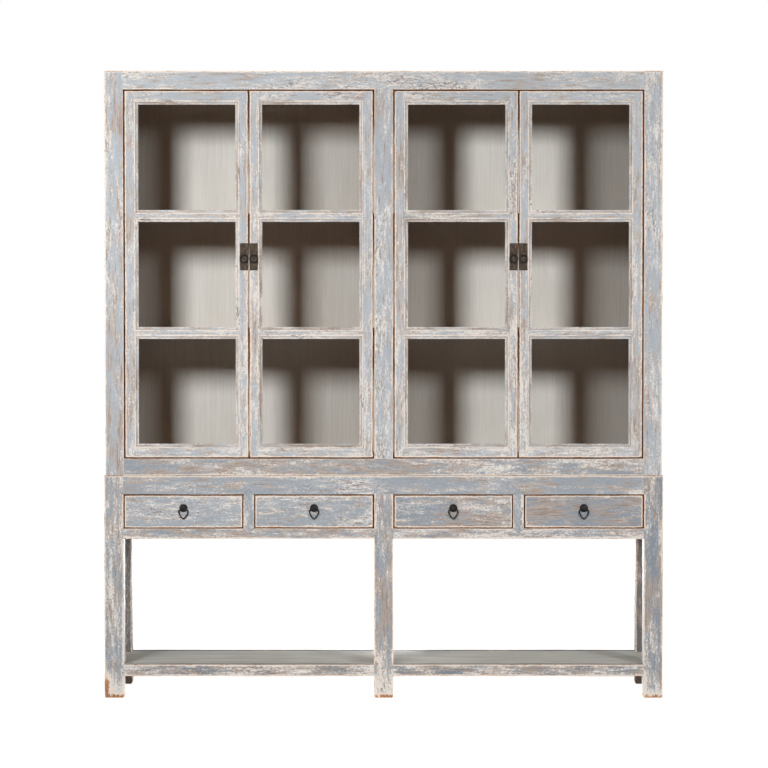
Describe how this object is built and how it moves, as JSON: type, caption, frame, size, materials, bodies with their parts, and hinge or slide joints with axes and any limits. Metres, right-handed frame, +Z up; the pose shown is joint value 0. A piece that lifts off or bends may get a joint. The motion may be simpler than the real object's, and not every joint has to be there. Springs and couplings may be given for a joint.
{
  "type": "display cabinet",
  "caption": "Tall Chinese display cabinet in worn grey-blue paint: glazed doors above, drawers with ring pulls and an open bottom shelf below.",
  "frame": {"origin": "on the floor, under the middle of the whole box", "axes": "+Z up, +Y towards the back of the cabinet, +X to the right seen from the front"},
  "size_m": [1.8, 0.422, 2.017],
  "materials": {
    "painted_wood": "rubbed-through grey-blue paint over a pale ground coat on wood",
    "washed_wood": "thin pale wash with streaks along the boards",
    "bare_wood": "bare, unpolished",
    "glass": "clear sheet glass",
    "patinated_brass": "dark brown patina, rubbed at the edges",
    "black_iron": "black forged iron"
  },
  "bodies": {
    "carcass": {"stand_front_legs": "painted_wood", "stand_back_legs": "painted_wood", "stand_top_rails": "painted_wood", "stand_lower_rails": "painted_wood", "stand_side_rails": "painted_wood", "stand_panels": "painted_wood", "stand_top_board": "painted_wood", "top_board_battens": "bare_wood", "drawer_stiles": "painted_wood", "drawer_runners": "bare_wood", "bottom_shelf_rails": "painted_wood", "bottom_shelf_boards": "painted_wood", "locating_dowels": "bare_wood", "cabinet_front_posts": "painted_wood", "cabinet_back_posts": "painted_wood", "cabinet_long_rails": "painted_wood", "cabinet_cross_rails": "painted_wood", "cabinet_side_panels": "painted_wood", "cabinet_back_panels": "washed_wood", "cabinet_partition": "washed_wood", "cabinet_top_board": "painted_wood", "cabinet_floor_board": "washed_wood", "inner_shelves": "washed_wood", "shelf_cleats": "bare_wood"},
    "door_1": {"door_1_frame": "painted_wood", "door_1_glazing_strips": "painted_wood", "door_1_glass": "glass", "door_1_pull_plate": "patinated_brass"},
    "door_1_pull": {"door_1_ring": "black_iron"},
    "door_2": {"door_2_frame": "painted_wood", "door_2_glazing_strips": "painted_wood", "door_2_glass": "glass", "door_2_pull_plate": "patinated_brass"},
    "door_2_pull": {"door_2_ring": "black_iron"},
    "door_3": {"door_3_frame": "painted_wood", "door_3_glazing_strips": "painted_wood", "door_3_glass": "glass", "door_3_pull_plate": "patinated_brass"},
    "door_3_pull": {"door_3_ring": "black_iron"},
    "door_4": {"door_4_frame": "painted_wood", "door_4_glazing_strips": "painted_wood", "door_4_glass": "glass", "door_4_pull_plate": "patinated_brass"},
    "door_4_pull": {"door_4_ring": "black_iron"},
    "drawer_1": {"drawer_1_front": "painted_wood", "drawer_1_box": "bare_wood", "drawer_1_knob": "black_iron"},
    "drawer_1_pull": {"drawer_1_ring": "black_iron"},
    "drawer_2": {"drawer_2_front": "painted_wood", "drawer_2_box": "bare_wood", "drawer_2_knob": "black_iron"},
    "drawer_2_pull": {"drawer_2_ring": "black_iron"},
    "drawer_3": {"drawer_3_front": "painted_wood", "drawer_3_box": "bare_wood", "drawer_3_knob": "black_iron"},
    "drawer_3_pull": {"drawer_3_ring": "black_iron"},
    "drawer_4": {"drawer_4_front": "painted_wood", "drawer_4_box": "bare_wood", "drawer_4_knob": "black_iron"},
    "drawer_4_pull": {"drawer_4_ring": "black_iron"}
  },
  "joints": [
    {"name": "door_1_hinge", "type": "hinge", "parent": "carcass", "child": "door_1", "pos_m": [-0.8175, -0.186, 1.365], "axis": [0, 0, -1], "range_deg": [0, 110]},
    {"name": "door_1_ring_swing", "type": "hinge", "parent": "door_1", "child": "door_1_pull", "pos_m": [-0.448, -0.202, 1.428], "axis": [-1, 0, 0], "range_deg": [-4, 95]},
    {"name": "door_2_hinge", "type": "hinge", "parent": "carcass", "child": "door_2", "pos_m": [-0.048, -0.186, 1.365], "axis": [0, 0, 1], "range_deg": [0, 90]},
    {"name": "door_2_ring_swing", "type": "hinge", "parent": "door_2", "child": "door_2_pull", "pos_m": [-0.4175, -0.202, 1.428], "axis": [-1, 0, 0], "range_deg": [-4, 95]},
    {"name": "door_3_hinge", "type": "hinge", "parent": "carcass", "child": "door_3", "pos_m": [0.048, -0.186, 1.365], "axis": [0, 0, -1], "range_deg": [0, 90]},
    {"name": "door_3_ring_swing", "type": "hinge", "parent": "door_3", "child": "door_3_pull", "pos_m": [0.4175, -0.202, 1.428], "axis": [-1, 0, 0], "range_deg": [-4, 95]},
    {"name": "door_4_hinge", "type": "hinge", "parent": "carcass", "child": "door_4", "pos_m": [0.8175, -0.186, 1.365], "axis": [0, 0, 1], "range_deg": [0, 110]},
    {"name": "door_4_ring_swing", "type": "hinge", "parent": "door_4", "child": "door_4_pull", "pos_m": [0.448, -0.202, 1.428], "axis": [-1, 0, 0], "range_deg": [-4, 95]},
    {"name": "drawer_1_slide", "type": "slide", "parent": "carcass", "child": "drawer_1", "axis": [0, -1, 0], "range_m": [0, 0.25]},
    {"name": "drawer_1_ring_swing", "type": "hinge", "parent": "drawer_1", "child": "drawer_1_pull", "pos_m": [-0.64438, -0.2042, 0.60775], "axis": [-1, 0, 0], "range_deg": [-4, 95]},
    {"name": "drawer_2_slide", "type": "slide", "parent": "carcass", "child": "drawer_2", "axis": [0, -1, 0], "range_m": [0, 0.25]},
    {"name": "drawer_2_ring_swing", "type": "hinge", "parent": "drawer_2", "child": "drawer_2_pull", "pos_m": [-0.22412, -0.2042, 0.60775], "axis": [-1, 0, 0], "range_deg": [-4, 95]},
    {"name": "drawer_3_slide", "type": "slide", "parent": "carcass", "child": "drawer_3", "axis": [0, -1, 0], "range_m": [0, 0.25]},
    {"name": "drawer_3_ring_swing", "type": "hinge", "parent": "drawer_3", "child": "drawer_3_pull", "pos_m": [0.22412, -0.2042, 0.60775], "axis": [-1, 0, 0], "range_deg": [-4, 95]},
    {"name": "drawer_4_slide", "type": "slide", "parent": "carcass", "child": "drawer_4", "axis": [0, -1, 0], "range_m": [0, 0.25]},
    {"name": "drawer_4_ring_swing", "type": "hinge", "parent": "drawer_4", "child": "drawer_4_pull", "pos_m": [0.64438, -0.2042, 0.60775], "axis": [-1, 0, 0], "range_deg": [-4, 95]}
  ]
}
